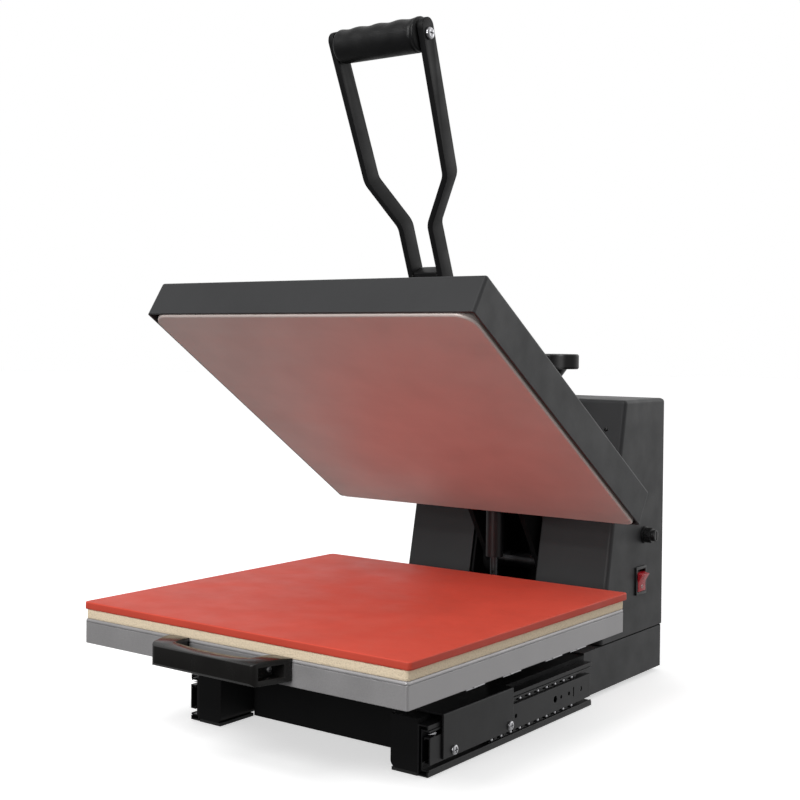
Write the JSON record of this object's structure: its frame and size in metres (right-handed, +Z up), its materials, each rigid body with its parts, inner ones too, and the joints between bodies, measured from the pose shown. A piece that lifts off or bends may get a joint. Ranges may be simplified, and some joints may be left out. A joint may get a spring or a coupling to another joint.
{
  "type": "heat press",
  "caption": "Clamshell heat press: sheet-metal housing, hinged heating platen with fork lever and gas spring, pressure knob, and a padded tray on drawer slides.",
  "frame": {"origin": "on the floor, under the centre of the machine's bounding box", "axes": "+X to the right seen from the front, +Y towards the back, +Z up"},
  "size_m": [0.386, 0.63, 0.6892],
  "materials": {
    "charcoal_coat": "fine-textured charcoal powder coat",
    "black_steel": "satin black paint",
    "slide_steel": "black electro-coat",
    "bright_steel": "zinc plated",
    "black_screw": "black oxide",
    "spring_black": "gloss black",
    "foot_rubber": "matt",
    "black_plastic": "moulded, satin",
    "grip_plastic": "moulded, fine grain",
    "red_plastic": "translucent gloss",
    "circuit_board": "solder resist",
    "silver_coat": "silver grey enamel",
    "cream_foam": "closed-cell foam",
    "red_silicone": "matt",
    "platen_aluminium": "non-stick coat, semi-gloss",
    "heater_steel": "dull",
    "mineral_wool": "fibrous"
  },
  "bodies": {
    "root": {"base_box": "charcoal_coat", "base_deck": "charcoal_coat", "leg_left": "charcoal_coat", "leg_right": "charcoal_coat", "rubber_feet": "foot_rubber", "slide_outer_left": "slide_steel", "slide_outer_right": "slide_steel", "housing_shell": "charcoal_coat", "rear_panel": "charcoal_coat", "pivot_frame": "black_steel", "hinge_shaft": "bright_steel", "adjuster_block": "black_steel", "screw_bushing": "bright_steel", "spring_bracket": "black_steel", "control_panel": "black_plastic", "control_board": "circuit_board", "fuse_holder": "black_plastic", "switch_body": "black_plastic", "power_inlet": "black_plastic", "relay": "black_plastic", "housing_screws": "black_screw"},
    "upper": {"cover_shell": "charcoal_coat", "heat_platen": "platen_aluminium", "heating_element": "heater_steel", "insulation": "mineral_wool", "arm_left": "black_steel", "arm_right": "black_steel", "arm_bolts": "bright_steel", "arm_spreader": "black_steel", "lever_pin": "bright_steel", "spring_pin": "bright_steel"},
    "lever": {"handle_bar_left": "black_steel", "handle_bar_right": "black_steel", "lever_block": "black_steel", "handle_grip": "grip_plastic", "grip_screws": "bright_steel", "grip_rod": "bright_steel"},
    "link": {"toggle_link": "black_steel"},
    "gas_tube": {"spring_tube": "spring_black"},
    "gas_rod": {"spring_rod": "bright_steel"},
    "carriage": {"tray": "silver_coat", "foam_board": "cream_foam", "silicone_pad": "red_silicone", "pull_handle": "black_plastic", "tray_crossbars": "black_steel", "tray_clips": "bright_steel", "carriage_bracket_left": "black_steel", "carriage_bracket_right": "black_steel", "drawer_screws": "bright_steel", "slide_inner_left": "slide_steel", "slide_inner_right": "slide_steel"},
    "slide_middle": {"slide_middle_left": "slide_steel", "slide_middle_right": "slide_steel"},
    "knob": {"pressure_knob": "black_plastic", "pressure_screw": "bright_steel"},
    "rocker": {"switch_rocker": "red_plastic"},
    "key_down": {"button_down": "black_plastic"},
    "key_set": {"button_set": "black_plastic"},
    "key_up": {"button_up": "black_plastic"},
    "fuse": {"fuse_cap": "black_plastic"}
  },
  "joints": [
    {"name": "platen_hinge", "type": "hinge", "parent": "root", "child": "upper", "pos_m": [0, 0.217, 0.125], "axis": [1, 0, 0], "range_deg": [0, 33.5], "stiffness_Nm_per_rad": 45, "springref_deg": -59.99},
    {"name": "handle_hinge", "type": "hinge", "parent": "upper", "child": "lever", "pos_m": [0, 0.083, 0.298], "axis": [1, 0, 0], "range_deg": [-0.1, 20]},
    {"name": "link_hinge", "type": "hinge", "parent": "root", "child": "link", "pos_m": [0, 0.285, 0.268], "axis": [1, 0, 0], "range_deg": [-40, 0.1]},
    {"name": "gas_tube_hinge", "type": "hinge", "parent": "upper", "child": "gas_tube", "pos_m": [0, 0.157, 0.205], "axis": [1, 0, 0], "range_deg": [-13, 0.1]},
    {"name": "gas_rod_hinge", "type": "hinge", "parent": "root", "child": "gas_rod", "pos_m": [0, 0.157, 0.068], "axis": [1, 0, 0], "range_deg": [-0.1, 20.9]},
    {"name": "tray_slide", "type": "slide", "parent": "root", "child": "carriage", "axis": [0, -1, 0], "range_m": [0, 0.28]},
    {"name": "slide_extension", "type": "slide", "parent": "root", "child": "slide_middle", "axis": [0, -1, 0], "range_m": [0, 0.1401]},
    {"name": "pressure_turn", "type": "hinge", "parent": "root", "child": "knob", "pos_m": [0, 0.285, 0.354], "axis": [0, 0, 1], "range_deg": [-720, 720]},
    {"name": "switch_rock", "type": "hinge", "parent": "root", "child": "rocker", "pos_m": [0.127, 0.254, 0.111], "axis": [0, -1, 0], "range_deg": [0, 28]},
    {"name": "key_down_press", "type": "slide", "parent": "root", "child": "key_down", "axis": [0, 0.9794, -0.2019], "range_m": [0, 0.0012], "stiffness_N_per_m": 500, "springref_m": -0.001},
    {"name": "key_set_press", "type": "slide", "parent": "root", "child": "key_set", "axis": [0, 0.9794, -0.2019], "range_m": [0, 0.0012], "stiffness_N_per_m": 500, "springref_m": -0.001},
    {"name": "key_up_press", "type": "slide", "parent": "root", "child": "key_up", "axis": [0, 0.9794, -0.2019], "range_m": [0, 0.0012], "stiffness_N_per_m": 500, "springref_m": -0.001},
    {"name": "fuse_turn", "type": "hinge", "parent": "root", "child": "fuse", "pos_m": [0.14, 0.264, 0.161], "axis": [1, 0, 0], "range_deg": [0, 90]}
  ],
  "couplings": [
    {"joint": "handle_hinge", "follows": "platen_hinge", "ratio": 0.59104},
    {"joint": "link_hinge", "follows": "platen_hinge", "ratio": -1.1871},
    {"joint": "gas_tube_hinge", "follows": "platen_hinge", "ratio": -0.38283},
    {"joint": "gas_rod_hinge", "follows": "platen_hinge", "ratio": 0.61717},
    {"joint": "slide_extension", "follows": "tray_slide", "ratio": 0.5}
  ]
}
